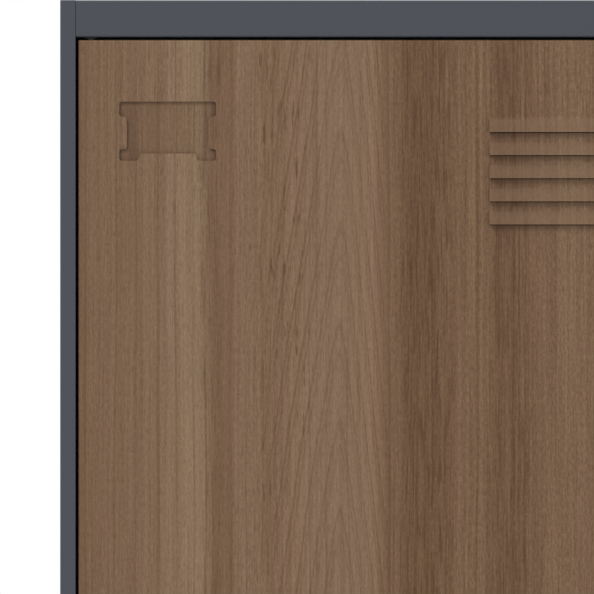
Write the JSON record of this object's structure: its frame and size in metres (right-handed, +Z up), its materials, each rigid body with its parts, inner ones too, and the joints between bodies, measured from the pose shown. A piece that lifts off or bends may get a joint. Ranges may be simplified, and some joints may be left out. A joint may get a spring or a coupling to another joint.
{
  "type": "coin operated locker",
  "caption": "Steel locker column with framed wood-finish doors, louvres, pressed label holders and coin-return key locks, on a recessed plinth.",
  "frame": {"origin": "centre of the bounding box at floor level, with the doors closed and the keys in the locks", "axes": "+Z up; the doors face -Y; +X is to the right of a person facing the doors"},
  "size_m": [0.4016, 0.531, 1.8],
  "materials": {
    "frame_paint": "satin",
    "woodgrain_door": "satin",
    "lock_black": "satin",
    "chrome_trim": "polished",
    "brass_plug": "satin",
    "key_steel": "brushed",
    "zinc_steel": "zinc plated",
    "rivet_steel": "satin",
    "pivot_steel": "black oxide",
    "spring_steel": "satin",
    "nylon": "matte",
    "rubber_buffer": "matte",
    "plate_white": "gloss",
    "button_red": "gloss"
  },
  "bodies": {
    "cabinet": {"left_side_panel": "frame_paint", "right_side_panel": "frame_paint", "back_panel": "frame_paint", "top_panel": "frame_paint", "mid_rail": "frame_paint", "bottom_rail": "frame_paint", "mid_shelf": "frame_paint", "base_shelf": "frame_paint", "plinth": "frame_paint", "hinge_bushes": "nylon", "door_buffers": "rubber_buffer", "strike_plates": "zinc_steel", "body_rivets": "rivet_steel", "plinth_bolts": "zinc_steel", "foot_pads": "nylon", "upper_coat_hook": "chrome_trim", "lower_coat_hook": "chrome_trim", "hook_screws": "zinc_steel"},
    "upper_door": {"upper_door_skin": "woodgrain_door", "upper_door_liner": "frame_paint", "upper_door_pivots": "pivot_steel", "upper_lock_faceplate": "lock_black", "upper_number_disc": "plate_white", "upper_coin_slot_bezel": "chrome_trim", "upper_lock_case": "lock_black", "upper_lock_cover": "lock_black", "upper_lock_screws": "zinc_steel", "upper_coin_chute": "zinc_steel", "upper_lock_barrel": "chrome_trim", "upper_barrel_nut": "zinc_steel", "upper_return_cup": "lock_black", "upper_button_spring": "spring_steel"},
    "upper_plug": {"upper_lock_plug": "brass_plug", "upper_lock_cam": "zinc_steel", "upper_cam_screw": "zinc_steel"},
    "upper_key": {"upper_key": "key_steel"},
    "upper_coin_lever": {"upper_coin_lever": "zinc_steel"},
    "upper_reject_button": {"upper_reject_button": "button_red"},
    "upper_return_flap": {"upper_return_flap": "chrome_trim"},
    "lower_door": {"lower_door_skin": "woodgrain_door", "lower_door_liner": "frame_paint", "lower_door_pivots": "pivot_steel", "lower_lock_faceplate": "lock_black", "lower_number_disc": "plate_white", "lower_coin_slot_bezel": "chrome_trim", "lower_lock_case": "lock_black", "lower_lock_cover": "lock_black", "lower_lock_screws": "zinc_steel", "lower_coin_chute": "zinc_steel", "lower_lock_barrel": "chrome_trim", "lower_barrel_nut": "zinc_steel", "lower_return_cup": "lock_black", "lower_button_spring": "spring_steel"},
    "lower_plug": {"lower_lock_plug": "brass_plug", "lower_lock_cam": "zinc_steel", "lower_cam_screw": "zinc_steel"},
    "lower_key": {"lower_key": "key_steel"},
    "lower_coin_lever": {"lower_coin_lever": "zinc_steel"},
    "lower_reject_button": {"lower_reject_button": "button_red"},
    "lower_return_flap": {"lower_return_flap": "chrome_trim"}
  },
  "joints": [
    {"name": "upper_door_hinge", "type": "hinge", "parent": "cabinet", "child": "upper_door", "pos_m": [-0.18, -0.2295, 1.364], "axis": [0, 0, -1], "range_deg": [0, 115]},
    {"name": "upper_key_turn", "type": "hinge", "parent": "upper_door", "child": "upper_plug", "pos_m": [0.146, -0.225, 1.33], "axis": [0, 1, 0], "range_deg": [0, 90]},
    {"name": "upper_key_pull", "type": "slide", "parent": "upper_plug", "child": "upper_key", "axis": [0, -1, 0], "range_m": [0, 0.028]},
    {"name": "upper_coin_lever_swing", "type": "hinge", "parent": "upper_door", "child": "upper_coin_lever", "pos_m": [0.1295, -0.2125, 1.304], "axis": [1, 0, 0], "range_deg": [0, 25]},
    {"name": "upper_reject_press", "type": "slide", "parent": "upper_door", "child": "upper_reject_button", "axis": [0, 1, 0], "range_m": [0, 0.003], "stiffness_N_per_m": 400, "springref_m": -0.004, "deforming": ["upper_button_spring"]},
    {"name": "upper_flap_swing", "type": "hinge", "parent": "upper_door", "child": "upper_return_flap", "pos_m": [0.138, -0.2387, 1.2819], "axis": [1, 0, 0], "range_deg": [0, 60]},
    {"name": "lower_door_hinge", "type": "hinge", "parent": "cabinet", "child": "lower_door", "pos_m": [-0.18, -0.2295, 0.516], "axis": [0, 0, -1], "range_deg": [0, 115]},
    {"name": "lower_key_turn", "type": "hinge", "parent": "lower_door", "child": "lower_plug", "pos_m": [0.146, -0.225, 0.482], "axis": [0, 1, 0], "range_deg": [0, 90]},
    {"name": "lower_key_pull", "type": "slide", "parent": "lower_plug", "child": "lower_key", "axis": [0, -1, 0], "range_m": [0, 0.028]},
    {"name": "lower_coin_lever_swing", "type": "hinge", "parent": "lower_door", "child": "lower_coin_lever", "pos_m": [0.1295, -0.2125, 0.456], "axis": [1, 0, 0], "range_deg": [0, 25]},
    {"name": "lower_reject_press", "type": "slide", "parent": "lower_door", "child": "lower_reject_button", "axis": [0, 1, 0], "range_m": [0, 0.003], "stiffness_N_per_m": 400, "springref_m": -0.004, "deforming": ["lower_button_spring"]},
    {"name": "lower_flap_swing", "type": "hinge", "parent": "lower_door", "child": "lower_return_flap", "pos_m": [0.138, -0.2387, 0.4339], "axis": [1, 0, 0], "range_deg": [0, 60]}
  ]
}
